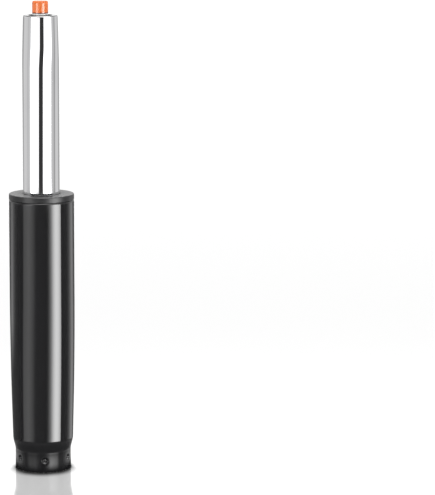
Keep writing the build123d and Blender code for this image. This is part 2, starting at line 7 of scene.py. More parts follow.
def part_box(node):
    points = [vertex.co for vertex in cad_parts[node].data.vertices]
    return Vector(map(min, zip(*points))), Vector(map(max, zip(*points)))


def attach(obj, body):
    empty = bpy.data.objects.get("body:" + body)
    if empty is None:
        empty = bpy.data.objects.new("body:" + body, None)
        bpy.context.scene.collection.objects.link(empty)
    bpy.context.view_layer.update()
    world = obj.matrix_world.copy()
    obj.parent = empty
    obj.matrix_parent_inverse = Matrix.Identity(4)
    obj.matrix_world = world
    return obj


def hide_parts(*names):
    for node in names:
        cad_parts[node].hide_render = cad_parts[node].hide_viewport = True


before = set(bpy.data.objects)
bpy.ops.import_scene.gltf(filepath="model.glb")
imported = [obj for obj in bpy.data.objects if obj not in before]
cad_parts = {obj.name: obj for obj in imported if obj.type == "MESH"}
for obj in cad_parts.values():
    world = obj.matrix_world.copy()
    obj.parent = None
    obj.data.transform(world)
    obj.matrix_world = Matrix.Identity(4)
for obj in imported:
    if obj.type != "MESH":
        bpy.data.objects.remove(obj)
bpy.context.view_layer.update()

# Chair gas lift cylinder, standing on its foot and fully extended.
# Lengths are in metres, the cylinder's axis is Z and its front looks along minus Y.

MM = 0.001
FULL_TURN = 2 * pi

# Places of the main pieces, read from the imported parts
column_low, column_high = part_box("column_tube")
_, collar_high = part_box("guide_sleeve")
lift_low, lift_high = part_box("lift_tube")
button_low, button_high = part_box("release_button")
_, pin_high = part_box("valve_pin")
foot_height = column_low.z
column_top = column_high.z
collar_top = collar_high.z
column_radius = column_high.x
lift_radius = lift_high.x
button_radius = button_high.x

# Shape of the column's wall
taper = radians(1.438)
column_wall = 2.0 * MM
column_edge = 1.5 * MM
cone_foot_inset = 1.7 * MM
neck_inset = 1.8 * MM
neck_length = 14.6 * MM
shoulder_height = 10.6 * MM
column_cone_length = 26.0 * MM
foot_edge = 0.35 * MM
edge_softness = 0.25 * MM
cone_foot_radius = column_radius - cone_foot_inset
neck_radius = cone_foot_radius - neck_inset

# Crimps pressed into the neck
crimp_count = 6
crimp_start_angle = radians(-87.0)
crimp_height = 9.8 * MM
crimp_depth = 1.6 * MM
crimp_mouth_radius = 2.6 * MM
crimp_tip_radius = 1.2 * MM
crimp_rim_sink = 0.1 * MM
crimp_rim_reach = 0.6 * MM
crimp_tip_dome = 0.5 * MM

# Shape of the lift tube's wall
lift_wall = 1.5 * MM
lift_cone_length = 24.0 * MM
lift_top_inset = 0.8 * MM
lift_top_radius = lift_radius - lift_top_inset
lift_top_edge = 0.9 * MM
top_lip_thickness = 1.5 * MM
top_lip_bore_radius = 9.0 * MM
bottom_lip_thickness = 2.0 * MM
bottom_lip_bore_radius = 10.0 * MM
bottom_lip_edge = 1.2 * MM

# Shape of the release button
button_edge = 1.4 * MM
button_bore_radius = 2.05 * MM

# How finely the turned pieces are divided
SEGMENTS = 360
ARC_STEPS = 8
EDGE_SUPPORT = 0.03 * MM
NECK_STEP = 0.35 * MM
SHOULDER_STEP = 0.4 * MM
COLUMN_CONE_STEP = 3 * MM
COLUMN_BLEND_STEP = 4 * MM
STRAIGHT_STEP = 8 * MM
LIFT_BLEND_STEP = 1.5 * MM
LIFT_CONE_STEP = 2 * MM


def rounded(outline):
    """Turn corners given as (radius, height, rounding) into a smooth run of points."""
    points = []
    count = len(outline)
    for index, (radius, height, rounding) in enumerate(outline):
        corner = Vector((radius, height))
        if rounding == 0:
            points.append(corner)
            continue
        before = Vector(outline[index - 1][:2]) - corner
        after = Vector(outline[(index + 1) % count][:2]) - corner
        before.normalize()
        after.normalize()
        half_angle = acos(max(-1.0, min(1.0, before.dot(after)))) / 2
        reach = rounding / tan(half_angle)
        centre = corner + (before + after).normalized() * rounding / sin(half_angle)
        start = corner + before * reach - centre
        end = corner + after * reach - centre
        sweep = pi - 2 * half_angle
        points.append(corner + before * (reach + EDGE_SUPPORT))
        for step in range(ARC_STEPS + 1):
            share = step / ARC_STEPS
            mixed = start * sin((1 - share) * sweep) + end * sin(share * sweep)
            points.append(centre + mixed / sin(sweep))
        points.append(corner + after * (reach + EDGE_SUPPORT))
    return points


def turned_piece(name, points, closed=True):
    """Turn an outline of (radius, height) points round the cylinder's axis.

    A closed outline is a ring's section. An open one starts and ends on the axis.
    """
    vertices, rows = [], []
    for radius, height in points:
        if radius == 0:
            rows.append([len(vertices)] * SEGMENTS)
            vertices.append((0, 0, height))
            continue
        rows.append(range(len(vertices), len(vertices) + SEGMENTS))
        for segment in range(SEGMENTS):
            angle = FULL_TURN * segment / SEGMENTS
            vertices.append((radius * cos(angle), radius * sin(angle), height))
    row_pairs = list(zip(rows, rows[1:]))
    if closed:
        row_pairs.append((rows[-1], rows[0]))
    faces = []
    for first, second in row_pairs:
        for segment in range(SEGMENTS):
            following = (segment + 1) % SEGMENTS
            corners = (first[segment], first[following], second[following], second[segment])
            faces.append(tuple(dict.fromkeys(corners)))
    mesh = bpy.data.meshes.new(name)
    mesh.from_pydata(vertices, [], faces)
    mesh.validate()
    mesh.shade_smooth()
    piece = bpy.data.objects.new(name, mesh)
    bpy.context.scene.collection.objects.link(piece)
    return piece


def spaced(start, end, step):
    """Heights from start up to, but not including, end."""
    count = max(1, ceil(abs(end - start) / step - 1e-6))
    return [start + (end - start) * index / count for index in range(count)]


# Column: neck, shoulder, cone, blend and straight tube
cone_foot_height = neck_length + shoulder_height
cone_top_height = cone_foot_height + column_cone_length
cone_top_radius = cone_foot_radius + column_cone_length * tan(taper)
column_blend_height = (column_radius - cone_top_radius) / tan(taper / 2)
straight_start = cone_top_height + column_blend_height


def column_side_radius(height):
    """Outer radius of the column at a height."""
    if height <= neck_length:
        return neck_radius
    if height < cone_foot_height:
        share = (height - neck_length) / shoulder_height
        rise = cone_foot_radius - neck_radius
        end_slope = shoulder_height * tan(taper)
        return neck_radius + rise * (3 - 2 * share) * share**2 + end_slope * (share - 1) * share**2
    if height <= cone_top_height:
        return cone_foot_radius + (height - cone_foot_height) * tan(taper)
    if height < straight_start:
        left = (straight_start - height) / column_blend_height
        return column_radius - (column_radius - cone_top_radius) * left**2
    return column_radius


def column_outline():
    """Section of the column's wall, up the outside and down the inside."""
    top_run = column_top - 2 * column_edge
    heights = spaced(foot_height + column_edge, neck_length, NECK_STEP)
    heights += spaced(neck_length, cone_foot_height, SHOULDER_STEP)
    heights += spaced(cone_foot_height, cone_top_height, COLUMN_CONE_STEP)
    heights += spaced(cone_top_height, straight_start, COLUMN_BLEND_STEP)
    heights += spaced(straight_start, top_run, STRAIGHT_STEP)
    outside = [(column_side_radius(height), height, 0) for height in heights]
    inside = [(radius - column_wall, height, 0) for radius, height, _ in reversed(outside)]
    return rounded(
        [
            (neck_radius, foot_height, foot_edge),
            *outside,
            (column_radius, column_top, column_edge),
            (column_radius - column_wall, column_top, 0),
            *inside,
            (neck_radius - column_wall, foot_height, foot_edge),
        ]
    )


def crimp_sink(distance):
    """How far a crimp presses the neck's wall in at a distance from the crimp's middle."""
    if distance >= crimp_mouth_radius:
        return crimp_rim_sink * exp((crimp_mouth_radius - distance) / crimp_rim_reach)
    share = (crimp_mouth_radius - distance) / (crimp_mouth_radius - crimp_tip_radius)
    if share >= 1:
        return crimp_depth - crimp_tip_dome * (1 - (distance / crimp_tip_radius) ** 2)
    floor_depth = crimp_depth - crimp_rim_sink
    return crimp_rim_sink + floor_depth * (3 - 2 * share) * share**2


def press_crimps(piece):
    """Press the dimples into the neck, through both faces of its wall."""
    pitch = FULL_TURN / crimp_count
    reach = crimp_mouth_radius + 3 * crimp_rim_reach
    for vertex in piece.data.vertices:
        x, y, height = vertex.co
        if abs(height - crimp_height) > reach:
            continue
        radius = hypot(x, y)
        around = Vector((x, y)).angle_signed(Vector((cos(crimp_start_angle), sin(crimp_start_angle))))
        around -= round(around / pitch) * pitch
        distance = hypot(around * radius, height - crimp_height)
        if distance > reach:
            continue
        sink = crimp_sink(distance)
        if radius < neck_radius - column_wall / 2 and distance >= crimp_mouth_radius:
            sink = 0
        vertex.co.x *= (radius - sink) / radius
        vertex.co.y *= (radius - sink) / radius


# Lift tube: straight tube, blend, cone, and a lip rolled in at both ends
lift_cone_start = lift_high.z - lift_cone_length
lift_cone_start_radius = lift_top_radius + lift_cone_length * tan(taper)
lift_blend_height = (lift_radius - lift_cone_start_radius) / tan(taper / 2)


def lift_side_radius(height):
    """Outer radius of the lift tube at a height."""
    if height >= lift_cone_start:
        return lift_top_radius + (lift_high.z - height) * tan(taper)
    climbed = max(0, height - lift_cone_start + lift_blend_height) / lift_blend_height
    return lift_radius - (lift_radius - lift_cone_start_radius) * climbed**2


def lift_tube_outline():
    """Section of the lift tube's wall, up the outside and down the inside."""
    bottom, top = lift_low.z, lift_high.z
    blend_start = lift_cone_start - lift_blend_height
    heights = spaced(bottom + bottom_lip_thickness, blend_start, STRAIGHT_STEP)
    heights += spaced(blend_start, lift_cone_start, LIFT_BLEND_STEP)
    heights += spaced(lift_cone_start, top - 2 * lift_top_edge, LIFT_CONE_STEP)
    outside = [(lift_side_radius(height), height, 0) for height in heights]
    inside = [(radius - lift_wall, height, 0) for radius, height, _ in reversed(outside)]
    lip_height = top - top_lip_thickness
    return rounded(
        [
            (lift_radius, bottom, bottom_lip_edge),
            *outside,
            (lift_top_radius, top, lift_top_edge),
            (top_lip_bore_radius, top, edge_softness),
            (top_lip_bore_radius, lip_height, edge_softness),
            (lift_side_radius(lip_height) - lift_wall, lip_height, 0),
            *inside,
            (lift_radius - lift_wall, bottom + bottom_lip_thickness, 0),
            (bottom_lip_bore_radius, bottom + bottom_lip_thickness, edge_softness),
            (bottom_lip_bore_radius, bottom, edge_softness),
        ]
    )


def button_outline():
    """Section of the button, from the top of its bore round the outside to its crown."""
    return rounded(
        [
            (0, pin_high.z, 0),
            (button_bore_radius, pin_high.z, 0),
            (button_bore_radius, button_low.z, edge_softness),
            (button_radius, button_low.z, edge_softness),
            (button_radius, button_high.z, button_edge),
            (0, button_high.z, 0),
        ]
    )


# Node groups: effects that several finishes share

# Rise of a face's normal where it starts to count as level, upward or dusty, and where it fully does
LEVEL_RISE = (0.9, 1.0)
UPWARD_RISE = (0.3, 0.6)
DUSTY_RISE = (0.6, 1.0)

# How many times longer than wide the hairline scratches are
SCRATCH_SLENDERNESS = 22.0


def node_group(name, inputs, outputs):
    """Start a shader node group with float inputs and outputs."""
    tree = bpy.data.node_groups.new(name, "ShaderNodeTree")
    for label, default in inputs.items():
        socket = tree.interface.new_socket(label, in_out="INPUT", socket_type="NodeSocketFloat")
        socket.default_value = default
    for label in outputs:
        tree.interface.new_socket(label, in_out="OUTPUT", socket_type="NodeSocketFloat")
    start = tree.nodes.new("NodeGroupInput")
    end = tree.nodes.new("NodeGroupOutput")
    return tree, start, end


def math_node(tree, operation, first, second=None, clamp=False):
    """Add a Math node whose inputs are sockets or plain numbers, and return its output."""
    node = tree.nodes.new("ShaderNodeMath")
    node.operation = operation
    node.use_clamp = clamp
    for socket, value in zip(node.inputs, (first, second)):
        if isinstance(value, bpy.types.NodeSocket):
            tree.links.new(value, socket)
        elif value is not None:
            socket.default_value = value
    return node.outputs[0]


def noise_node(tree, vector, scale, detail=2.0, roughness=0.5):
    """Add a Noise node and return its value."""
    node = tree.nodes.new("ShaderNodeTexNoise")
    node.inputs["Detail"].default_value = detail
    node.inputs["Roughness"].default_value = roughness
    tree.links.new(vector, node.inputs["Vector"])
    if isinstance(scale, bpy.types.NodeSocket):
        tree.links.new(scale, node.inputs["Scale"])
    else:
        node.inputs["Scale"].default_value = scale
    return node.outputs[0]


def range_node(tree, value, low, high, new_low=0.0, new_high=1.0):
    """Add a Map Range node with soft ends and return its value."""
    node = tree.nodes.new("ShaderNodeMapRange")
    node.interpolation_type = "SMOOTHSTEP"
    tree.links.new(value, node.inputs["Value"])
    for label, number in (
        ("From Min", low),
        ("From Max", high),
        ("To Min", new_low),
        ("To Max", new_high),
    ):
        node.inputs[label].default_value = number
    return node.outputs[0]


def place_coordinates(tree):
    """Add the object's own coordinates and return the vector and its parts."""
    place = tree.nodes.new("ShaderNodeTexCoord").outputs["Object"]
    parts = tree.nodes.new("ShaderNodeSeparateXYZ")
    tree.links.new(place, parts.inputs[0])
    return place, parts.outputs


def radius_node(tree, x, y):
    """Work out the distance from the cylinder's axis."""
    squares = [math_node(tree, "POWER", part, 2.0) for part in (x, y)]
    return math_node(tree, "SQRT", math_node(tree, "ADD", *squares))


def facing_up_node(tree, low, high):
    """Mask the faces whose normal rises above low, fully from high on."""
    facing = tree.nodes.new("ShaderNodeNewGeometry")
    parts = tree.nodes.new("ShaderNodeSeparateXYZ")
    tree.links.new(facing.outputs["Normal"], parts.inputs[0])
    return range_node(tree, parts.outputs["Z"], low, high)


def tool_lines_group():
    """Fine hoops left round a turned, ground or drawn piece."""
    tree, start, end = node_group("tool_lines", {"Lines per metre": 4000.0, "Length": 1.5}, ["Lines"])
    _, (x, y, z) = place_coordinates(tree)
    turn = math_node(tree, "ARCTAN2", y, x)
    travel = math_node(tree, "ADD", z, radius_node(tree, x, y))
    across = math_node(tree, "MULTIPLY", travel, start.outputs["Lines per metre"])
    along = math_node(tree, "DIVIDE", turn, start.outputs["Length"])
    unrolled = tree.nodes.new("ShaderNodeCombineXYZ")
    tree.links.new(across, unrolled.inputs["X"])
    tree.links.new(along, unrolled.inputs["Y"])
    lines = noise_node(tree, unrolled.outputs[0], 1.0, detail=3.0, roughness=0.6)
    tree.links.new(lines, end.inputs["Lines"])
    return tree


def fine_grain_group():
    """Even small-scale grain, given by the size of its bumps."""
    tree, start, end = node_group("fine_grain", {"Bumps per metre": 3000.0}, ["Grain"])
    place, _ = place_coordinates(tree)
    tree.links.new(noise_node(tree, place, start.outputs["Bumps per metre"]), end.inputs["Grain"])
    return tree


def handling_group():
    """Large soft smudges and sparse hairline scratches from handling."""
    inputs = {"Smudges per metre": 40.0, "Scratches per metre": 90.0}
    tree, start, end = node_group("handling", inputs, ["Smudges", "Scratches"])
    place, (x, y, z) = place_coordinates(tree)
    cloud = noise_node(tree, place, start.outputs["Smudges per metre"], detail=4.0, roughness=0.55)
    tree.links.new(range_node(tree, cloud, 0.45, 0.72), end.inputs["Smudges"])
    slanted = tree.nodes.new("ShaderNodeCombineXYZ")
    for label, operation, first, second in (("X", "ADD", x, y), ("Y", "SUBTRACT", y, x)):
        diagonal = math_node(tree, operation, first, second)
        tree.links.new(math_node(tree, "MULTIPLY", diagonal, SCRATCH_SLENDERNESS), slanted.inputs[label])
    tree.links.new(z, slanted.inputs["Z"])
    strands = noise_node(tree, slanted.outputs[0], start.outputs["Scratches per metre"], detail=1.0)
    fine = math_node(tree, "ABSOLUTE", math_node(tree, "SUBTRACT", strands, 0.5))
    hairlines = range_node(tree, fine, 0.0, 0.006, 1.0, 0.0)
    sparse = range_node(tree, cloud, 0.5, 0.62)
    tree.links.new(math_node(tree, "MULTIPLY", hairlines, sparse), end.inputs["Scratches"])
    return tree


def rim_wear_group():
    """Broken wear in a narrow band on both sides of a rim's height."""
    tree, start, end = node_group("rim_wear", {"Rim height": 0.0, "Reach": 0.002}, ["Wear"])
    place, (_, _, z) = place_coordinates(tree)
    away = math_node(tree, "ABSOLUTE", math_node(tree, "SUBTRACT", z, start.outputs["Rim height"]))
    share = math_node(tree, "DIVIDE", away, start.outputs["Reach"])
    near = math_node(tree, "SUBTRACT", 1.0, share, clamp=True)
    chips = noise_node(tree, place, 900.0, detail=3.0, roughness=0.65)
    broken = math_node(tree, "ADD", math_node(tree, "MULTIPLY", near, 0.45), chips)
    tree.links.new(range_node(tree, broken, 0.74, 0.84), end.inputs["Wear"])
    return tree


def settled_dust_group():
    """Thin dust on surfaces that face up."""
    tree, start, end = node_group("settled_dust", {"Amount": 0.3}, ["Dust"])
    place, _ = place_coordinates(tree)
    patches = range_node(tree, noise_node(tree, place, 350.0, detail=4.0, roughness=0.6), 0.4, 0.75)
    dust = math_node(tree, "MULTIPLY", facing_up_node(tree, *DUSTY_RISE), patches)
    tree.links.new(math_node(tree, "MULTIPLY", dust, start.outputs["Amount"]), end.inputs["Dust"])
    return tree


def top_face_group():
    """Masks of level faces and of all faces that look up."""
    tree, _, end = node_group("top_face", {}, ["Level", "Upward"])
    tree.links.new(facing_up_node(tree, *LEVEL_RISE), end.inputs["Level"])
    tree.links.new(facing_up_node(tree, *UPWARD_RISE), end.inputs["Upward"])
    return tree


TOOL_LINES = tool_lines_group()
FINE_GRAIN = fine_grain_group()
HANDLING = handling_group()
RIM_WEAR = rim_wear_group()
SETTLED_DUST = settled_dust_group()
TOP_FACE = top_face_group()


# Finishes

# Band of the pinched shoulder where the paint mirrors little, as painted shade, with a soft change below
# and above it
shoulder_shade_foot = neck_length + 2.4 * MM
shoulder_shade_top = neck_length + 5.8 * MM
shoulder_shade_end = neck_length + 11.6 * MM

# Painted shade: a dark line round the lower rim of the button
painted_shade_line_top = button_low.z + 0.4 * MM
painted_shade_line_end = button_low.z + 1.0 * MM


class Finish:
    """A material with one Principled surface that effects are added to."""

    def __init__(self, name, colour, roughness, metallic=0.0, **settings):
        self.material = bpy.data.materials.new(name)
        self.material.use_nodes = True
        self.tree = self.material.node_tree
        self.tree.nodes.clear()
        self.surface = self.tree.nodes.new("ShaderNodeBsdfPrincipled")
        output = self.tree.nodes.new("ShaderNodeOutputMaterial")
        self.tree.links.new(self.surface.outputs[0], output.inputs["Surface"])
        self.colour = self.roughness = None
        self.base_colour = (*colour, 1.0)
        self.base_roughness = roughness
        self.surface.inputs["Base Color"].default_value = self.base_colour
        self.surface.inputs["Roughness"].default_value = roughness
        self.surface.inputs["Metallic"].default_value = metallic
        for label, value in settings.items():
            self.surface.inputs[label.replace("_", " ")].default_value = value

    def effect(self, group, **values):
        """Place a shared effect with its own values and return its outputs."""
        node = self.tree.nodes.new("ShaderNodeGroup")
        node.node_tree = group
        for label, value in values.items():
            node.inputs[label.replace("_", " ")].default_value = value
        return node.outputs

    def tint(self, mask, colour, amount=1.0):
        """Blend another colour in where the mask is high."""
        mix = self.tree.nodes.new("ShaderNodeMix")
        mix.data_type = "RGBA"
        self.tree.links.new(math_node(self.tree, "MULTIPLY", mask, amount), mix.inputs["Factor"])
        first, second = [socket for socket in mix.inputs if socket.type == "RGBA"]
        if self.colour is None:
            first.default_value = self.base_colour
        else:
            self.tree.links.new(self.colour, first)
        second.default_value = (*colour, 1.0)
        self.colour = [socket for socket in mix.outputs if socket.type == "RGBA"][0]
        self.tree.links.new(self.colour, self.surface.inputs["Base Color"])

    def roughen(self, mask, amount):
        """Add to the roughness where the mask is high."""
        start = self.base_roughness if self.roughness is None else self.roughness
        added = math_node(self.tree, "MULTIPLY", mask, amount)
        self.roughness = math_node(self.tree, "ADD", start, added, clamp=True)
        self.tree.links.new(self.roughness, self.surface.inputs["Roughness"])

    def sheen(self, mask, low, high):
        """Set how strongly the surface mirrors, from low to high as the mask rises."""
        level = math_node(self.tree, "MULTIPLY", mask, high - low)
        level = math_node(self.tree, "ADD", level, low)
        self.tree.links.new(level, self.surface.inputs["Specular IOR Level"])

    def emboss(self, *heights, depth):
        """Raise the surface by the sum of some effects, each a (mask, share) pair."""
        total = None
        for mask, share in heights:
            part = math_node(self.tree, "MULTIPLY", mask, share)
            total = part if total is None else math_node(self.tree, "ADD", total, part)
        bump = self.tree.nodes.new("ShaderNodeBump")
        bump.inputs["Strength"].default_value = 1.0
        bump.inputs["Distance"].default_value = depth
        self.tree.links.new(total, bump.inputs["Height"])
        self.tree.links.new(bump.outputs[0], self.surface.inputs["Normal"])


def black_enamel():
    """Gloss stove enamel of the column, rubbed a little at its foot and top rims."""
    finish = Finish("gloss_black_enamel", (0.018, 0.018, 0.019), 0.025)
    peel = finish.effect(FINE_GRAIN, Bumps_per_metre=700.0)["Grain"]
    smudges, scratches = finish.effect(HANDLING, Smudges_per_metre=30.0, Scratches_per_metre=60.0)
    foot = finish.effect(RIM_WEAR, Rim_height=foot_height, Reach=0.9 * MM)["Wear"]
    top = finish.effect(RIM_WEAR, Rim_height=column_top, Reach=0.6 * MM)["Wear"]
    dust = finish.effect(SETTLED_DUST, Amount=0.25)["Dust"]
    finish.tint(foot, (0.16, 0.155, 0.15), 0.7)
    finish.tint(top, (0.10, 0.10, 0.10), 0.5)
    finish.tint(dust, (0.30, 0.29, 0.28))
    finish.roughen(smudges, 0.01)
    finish.roughen(scratches, 0.12)
    finish.roughen(foot, 0.35)
    _, (_, _, height) = place_coordinates(finish.tree)
    # Painted shade: on the shoulder's band the paint mirrors little, so the band stays dark
    over_shoulder = range_node(finish.tree, height, shoulder_shade_top, shoulder_shade_end)
    on_neck = range_node(finish.tree, height, neck_length, shoulder_shade_foot, 1.0, 0.0)
    finish.sheen(math_node(finish.tree, "ADD", over_shoulder, on_neck, clamp=True), 0.06, 0.5)
    finish.emboss((peel, 1.0), depth=0.0008 * MM)
    return finish.material


def hard_chrome():
    """Ground and polished hard chrome of the lift tube."""
    finish = Finish("hard_chrome", (0.76, 0.76, 0.77), 0.02, metallic=1.0)
    lines = finish.effect(TOOL_LINES, Lines_per_metre=6000.0, Length=2.0)["Lines"]
    smudges, scratches = finish.effect(HANDLING, Smudges_per_metre=28.0, Scratches_per_metre=80.0)
    level, upward = finish.effect(TOP_FACE)
    finish.tint(smudges, (0.70, 0.70, 0.71), 0.35)
    # Painted shade on the chrome's top: faces that look up are coloured dark and level faces mid grey,
    # so they mirror less
    finish.tint(upward, (0.10, 0.10, 0.10))
    finish.tint(level, (0.45, 0.45, 0.46))
    finish.roughen(lines, 0.015)
    finish.roughen(smudges, 0.02)
    finish.roughen(scratches, 0.08)
    finish.emboss((lines, 1.0), depth=0.0006 * MM)
    return finish.material


def collar_plastic():
    """Satin dark plastic of the guide sleeve, with a fine moulded texture."""
    finish = Finish("satin_collar_plastic", (0.024, 0.024, 0.025), 0.28)
    grain = finish.effect(FINE_GRAIN, Bumps_per_metre=2600.0)["Grain"]
    mottle = finish.effect(FINE_GRAIN, Bumps_per_metre=260.0)["Grain"]
    dust = finish.effect(SETTLED_DUST, Amount=0.04)["Dust"]
    rubbed = finish.effect(RIM_WEAR, Rim_height=collar_top, Reach=0.7 * MM)["Wear"]
    finish.tint(mottle, (0.04, 0.04, 0.041), 0.5)
    finish.tint(dust, (0.20, 0.19, 0.18))
    finish.tint(rubbed, (0.10, 0.10, 0.10), 0.5)
    finish.roughen(mottle, 0.10)
    level = finish.effect(TOP_FACE)["Level"]
    finish.roughen(level, -0.24)
    smoothed = math_node(finish.tree, "MULTIPLY", level, 0.85)
    kept_grain = math_node(finish.tree, "SUBTRACT", 1.0, smoothed)
    finish.emboss((math_node(finish.tree, "MULTIPLY", grain, kept_grain), 1.0), depth=0.02 * MM)
    finish.sheen(collar_top_shade_mask(finish.tree), 0.3, 0.0)
    return finish.material


def collar_top_shade_mask(tree):
    """Mask the collar's level face, most beside the lift tube and less towards its rim."""
    _, (x, y, _) = place_coordinates(tree)
    # Painted shade: the level face mirrors little, and least beside the lift tube
    travel = math_node(tree, "SUBTRACT", radius_node(tree, x, y), lift_radius)
    outward = math_node(tree, "DIVIDE", travel, column_radius - lift_radius, clamp=True)
    shaded_share = math_node(tree, "SUBTRACT", 0.96, math_node(tree, "MULTIPLY", outward, 0.15))
    return math_node(tree, "MULTIPLY", facing_up_node(tree, *LEVEL_RISE), shaded_share)


def orange_button_plastic():
    """Glossy orange plastic of the release button."""
    finish = Finish("glossy_orange_plastic", (0.93, 0.22, 0.05), 0.1)
    flow = finish.effect(FINE_GRAIN, Bumps_per_metre=180.0)["Grain"]
    skin = finish.effect(FINE_GRAIN, Bumps_per_metre=1800.0)["Grain"]
    smudges, scratches = finish.effect(HANDLING, Smudges_per_metre=120.0, Scratches_per_metre=200.0)
    edge = finish.effect(RIM_WEAR, Rim_height=button_high.z, Reach=0.5 * MM)["Wear"]
    finish.tint(flow, (0.88, 0.17, 0.035), 0.5)
    finish.tint(edge, (0.97, 0.42, 0.20), 0.5)
    _, (_, _, height) = place_coordinates(finish.tree)
    # Painted shade under the button's lower rim, tinted dark red-brown
    painted_root_shade = range_node(finish.tree, height, painted_shade_line_top, painted_shade_line_end, 1.0, 0.0)
    finish.tint(painted_root_shade, (0.20, 0.03, 0.01))
    finish.roughen(smudges, 0.08)
    finish.roughen(scratches, 0.12)
    # Painted shade: faces that look up mirror little, so the button's top and chamfer stay dark orange
    finish.sheen(facing_up_node(finish.tree, *UPWARD_RISE), 0.5, 0.04)
    finish.emboss((skin, 1.0), depth=0.004 * MM)
    return finish.material


def machined_metal(name, colour, roughness, lines_per_metre, stain):
    """Bright metal that keeps the hoops of the tool that turned or ground it."""
    finish = Finish(name, colour, roughness, metallic=1.0)
    lines = finish.effect(TOOL_LINES, Lines_per_metre=lines_per_metre, Length=1.2)["Lines"]
    smudges, scratches = finish.effect(HANDLING, Smudges_per_metre=90.0, Scratches_per_metre=150.0)
    dust = finish.effect(SETTLED_DUST, Amount=0.15)["Dust"]
    finish.tint(smudges, stain, 0.6)
    finish.tint(dust, (0.35, 0.34, 0.32))
    finish.roughen(lines, 0.14)
    finish.roughen(smudges, 0.12)
    finish.roughen(scratches, 0.10)
    finish.emboss((lines, 1.0), (scratches, -0.5), depth=0.0015 * MM)
    return finish.material


def moulded_plastic(name, colour, shade, roughness):
    """Moulded engineering plastic with soft flow marks."""
    finish = Finish(name, colour, roughness)
    flow = finish.effect(FINE_GRAIN, Bumps_per_metre=220.0)["Grain"]
    grain = finish.effect(FINE_GRAIN, Bumps_per_metre=3000.0)["Grain"]
    smudges, scratches = finish.effect(HANDLING, Smudges_per_metre=140.0, Scratches_per_metre=200.0)
    finish.tint(flow, shade, 0.7)
    finish.roughen(smudges, 0.10)
    finish.roughen(scratches, 0.10)
    finish.emboss((grain, 1.0), depth=0.01 * MM)
    return finish.material


def rubber(name, colour, bloom, roughness):
    """Black rubber with a dusty bloom and a fine pressed grain."""
    finish = Finish(name, colour, roughness, Specular_IOR_Level=0.0)
    grain = finish.effect(FINE_GRAIN, Bumps_per_metre=4000.0)["Grain"]
    cloud = finish.effect(HANDLING, Smudges_per_metre=160.0)["Smudges"]
    finish.tint(cloud, bloom, 0.5)
    finish.roughen(cloud, 0.15)
    finish.emboss((grain, 1.0), depth=0.02 * MM)
    return finish.material


finishes = {
    "gloss_black_paint": black_enamel(),
    "chrome": hard_chrome(),
    "collar_plastic": collar_plastic(),
    "orange_plastic": orange_button_plastic(),
}
for slot, name, colour, roughness, lines_per_metre, stain in (
    ("zinc_plate", "zinc_plated_steel", (0.60, 0.61, 0.64), 0.28, 2500.0, (0.48, 0.50, 0.52)),
    ("ground_steel", "ground_steel", (0.62, 0.62, 0.63), 0.14, 7000.0, (0.52, 0.52, 0.52)),
    ("bearing_steel", "bearing_steel", (0.58, 0.58, 0.60), 0.10, 9000.0, (0.46, 0.44, 0.40)),
    ("spring_steel", "blackened_spring_steel", (0.10, 0.10, 0.11), 0.38, 3000.0, (0.06, 0.06, 0.07)),
    ("drawn_steel", "drawn_steel", (0.52, 0.53, 0.54), 0.24, 1800.0, (0.42, 0.40, 0.36)),
    ("brass", "turned_brass", (0.75, 0.55, 0.24), 0.22, 3500.0, (0.55, 0.38, 0.16)),
    ("aluminium", "turned_aluminium", (0.76, 0.77, 0.79), 0.26, 3000.0, (0.62, 0.63, 0.65)),
):
    finishes[slot] = machined_metal(name, colour, roughness, lines_per_metre, stain)
for slot, name, colour, shade, roughness in (
    ("guide_plastic", "natural_guide_plastic", (0.74, 0.72, 0.66), (0.66, 0.63, 0.55), 0.42),
    ("white_plastic", "white_sleeve_plastic", (0.90, 0.90, 0.89), (0.84, 0.84, 0.82), 0.3),
):
    finishes[slot] = moulded_plastic(name, colour, shade, roughness)
for slot, colour, bloom, roughness in (
    ("buffer_rubber", (0.018, 0.018, 0.018), (0.05, 0.05, 0.05), 0.62),
    ("seal_rubber", (0.022, 0.022, 0.023), (0.04, 0.04, 0.042), 0.48),
):
    finishes[slot] = rubber(slot, colour, bloom, roughness)

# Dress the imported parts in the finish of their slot
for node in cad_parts.values():
    node.material_slots[0].material = finishes[node.material_slots[0].material.name]


def dress(piece, body, node, slot):
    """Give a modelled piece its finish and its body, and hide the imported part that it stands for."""
    piece.data.materials.append(finishes[slot])
    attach(piece, body)
    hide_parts(node)


enamelled_column = turned_piece("enamelled_column", column_outline())
press_crimps(enamelled_column)
dress(enamelled_column, "column", "column_tube", "gloss_black_paint")

chromed_lift_tube = turned_piece("chromed_lift_tube", lift_tube_outline())
dress(chromed_lift_tube, "lift_tube", "lift_tube", "chrome")

orange_button = turned_piece("orange_button", button_outline(), closed=False)
dress(orange_button, "button", "release_button", "orange_plastic")

# Studio: a pale glossy floor, a soft white room, and dark and bright cards that only gloss sees

FLOOR_SIZE = 24.0
ROOM_LIGHT = 1.05
FLOOR_CAMERA_GLOW = 0.345

# How far the painted shadow under the foot spreads on the floor beside it, and in front of it
SIDE_PAINTED_SHADOW = 4.0 * MM
FRONT_PAINTED_SHADOW = 14.0 * MM

# Radii of the polished patch under the foot: inside SHINE_START it mirrors nothing, as painted shade in
# the neck's reflection; its shine grows from SHINE_START to SHINE_FULL and weakens from SHINE_THINNING
# to the rim, and it turns clear from PATCH_CLEARING to PATCH_CLEAR
GLOSS_DISC_RADIUS = 95.0 * MM
SHINE_START = 26.0 * MM
SHINE_FULL = 50.0 * MM
SHINE_THINNING = 55.0 * MM
PATCH_CLEARING = 82.0 * MM
PATCH_CLEAR = 94.0 * MM
SHINE_LEVEL = 0.84
PATCH_DEPTH = 0.1 * MM

